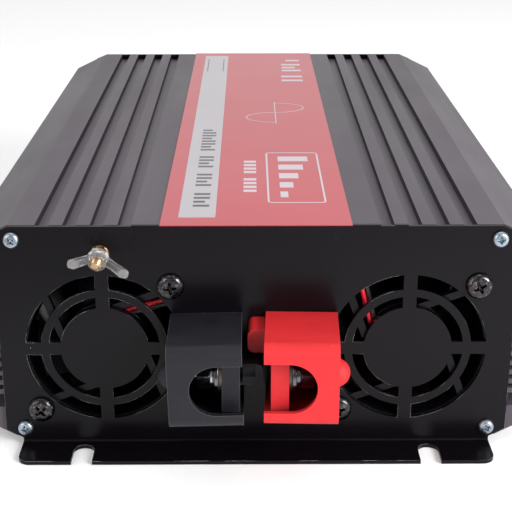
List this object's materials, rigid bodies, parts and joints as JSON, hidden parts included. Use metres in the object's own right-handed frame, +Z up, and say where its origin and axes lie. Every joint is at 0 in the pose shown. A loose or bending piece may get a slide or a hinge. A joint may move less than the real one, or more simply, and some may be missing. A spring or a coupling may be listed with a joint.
{
  "type": "power inverter",
  "caption": "Finned aluminium power inverter with steel end plates, cooling fans, covered DC terminals, an earth stud and AC outlets.",
  "frame": {"origin": "centre of the footprint, on the plane of both mounting flanges", "axes": "+X to the right seen from the DC end, +Y from the DC end to the AC end, +Z up"},
  "size_m": [0.2132, 0.3616, 0.0889],
  "materials": {
    "anodised": "satin",
    "plate_black": "semi-gloss",
    "label_foil": "gloss",
    "zinc_screw": "bright zinc",
    "black_screw": "worn black",
    "fan_black": "moulded",
    "copper_winding": "enamelled wire",
    "lead_red": "wire insulation",
    "lead_black": "wire insulation",
    "red_plastic": "moulded",
    "black_plastic": "moulded",
    "busbar_tin": "tinned copper",
    "bright_steel": "nickel plated",
    "brass": "turned",
    "clear_plastic": "clear moulded",
    "outlet_black": "moulded",
    "rocker_red": "moulded",
    "button_white": "moulded",
    "led_green": "lens",
    "led_red": "lens",
    "port_steel": "pressed",
    "board_green": "solder mask",
    "insulation": "sheet",
    "ferrite": "sintered",
    "tape_yellow": "taped winding",
    "powder_core": "coated",
    "sleeve_blue": "shrink sleeve",
    "sleeve_black": "shrink sleeve",
    "package_black": "moulded epoxy",
    "clamp_aluminium": "sawn",
    "fuse_green": "moulded",
    "wire_blue": "wire insulation",
    "wire_earth": "wire insulation"
  },
  "bodies": {
    "case": {"top_shell": "anodised", "bottom_shell": "anodised", "front_plate": "plate_black", "rear_plate": "plate_black", "label": "label_foil", "front_corner_screws": "zinc_screw", "rear_corner_screws": "zinc_screw", "fan_frame_left": "fan_black", "fan_frame_right": "fan_black", "fan_stators": "copper_winding", "fan_screws": "black_screw", "fan_leads_red": "lead_red", "fan_leads_black": "lead_black", "terminal_base_red": "red_plastic", "terminal_base_black": "black_plastic", "terminal_base_screws": "zinc_screw", "busbar_positive": "busbar_tin", "busbar_negative": "busbar_tin", "terminal_bolts": "bright_steel", "terminal_washers": "bright_steel", "spring_washers": "bright_steel", "ground_stud": "brass", "ground_washer": "brass", "ground_nut": "brass", "ac_outlet_left": "outlet_black", "ac_outlet_right": "outlet_black", "outlet_sleeves": "brass", "outlet_earth_clips": "bright_steel", "outlet_screws": "zinc_screw", "switch_housing": "outlet_black", "breaker_body": "outlet_black", "led_power": "led_green", "led_fault": "led_red", "usb_socket": "port_steel", "remote_socket": "outlet_black", "main_board": "board_green", "board_standoffs": "brass", "m3_screws": "zinc_screw", "insulation_sheet": "insulation", "transformer_cores": "ferrite", "transformer_windings": "tape_yellow", "inductor_core": "powder_core", "inductor_winding": "copper_winding", "dc_capacitors": "sleeve_blue", "hv_capacitors": "sleeve_black", "power_transistors": "package_black", "clamp_bars": "clamp_aluminium", "fuses": "fuse_green", "control_board": "board_green", "ac_wires": "wire_blue", "earth_wire": "wire_earth"},
    "left_fan": {"fan_rotor_left": "fan_black"},
    "right_fan": {"fan_rotor_right": "fan_black"},
    "positive_nut": {"terminal_nut_red": "bright_steel"},
    "negative_nut": {"terminal_nut_black": "bright_steel"},
    "red_cover": {"terminal_cover_red": "red_plastic"},
    "black_cover": {"terminal_cover_black": "black_plastic"},
    "wing_nut": {"wing_nut": "clear_plastic"},
    "rocker": {"switch_rocker": "rocker_red"},
    "reset_button": {"breaker_button": "button_white"}
  },
  "joints": [
    {"name": "left_fan_spin", "type": "hinge", "parent": "case", "child": "left_fan", "pos_m": [-0.0562, -0.1488, 0.0404], "axis": [0, 1, 0], "continuous": true},
    {"name": "right_fan_spin", "type": "hinge", "parent": "case", "child": "right_fan", "pos_m": [0.0562, -0.1488, 0.0404], "axis": [0, 1, 0], "continuous": true},
    {"name": "positive_nut_turn", "type": "hinge", "parent": "case", "child": "positive_nut", "pos_m": [-0.0004, -0.1678, 0.0399], "axis": [1, 0, 0], "range_deg": [0, 540]},
    {"name": "negative_nut_turn", "type": "hinge", "parent": "case", "child": "negative_nut", "pos_m": [-0.0004, -0.1678, 0.0399], "axis": [-1, 0, 0], "range_deg": [0, 540]},
    {"name": "wing_nut_turn", "type": "hinge", "parent": "case", "child": "wing_nut", "pos_m": [-0.0562, -0.1488, 0.0782], "axis": [0, -1, 0], "range_deg": [0, 450]},
    {"name": "red_cover_slide", "type": "slide", "parent": "case", "child": "red_cover", "axis": [0, -1, 0], "range_m": [0, 0.045]},
    {"name": "black_cover_slide", "type": "slide", "parent": "case", "child": "black_cover", "axis": [0, -1, 0], "range_m": [0, 0.045]},
    {"name": "rocker_tilt", "type": "hinge", "parent": "case", "child": "rocker", "pos_m": [-0.05, 0.1627, 0.062], "axis": [1, 0, 0], "range_deg": [0, 20]},
    {"name": "reset_press", "type": "slide", "parent": "case", "child": "reset_button", "axis": [0, -1, 0], "range_m": [0, 0.0025], "stiffness_N_per_m": 300}
  ]
}
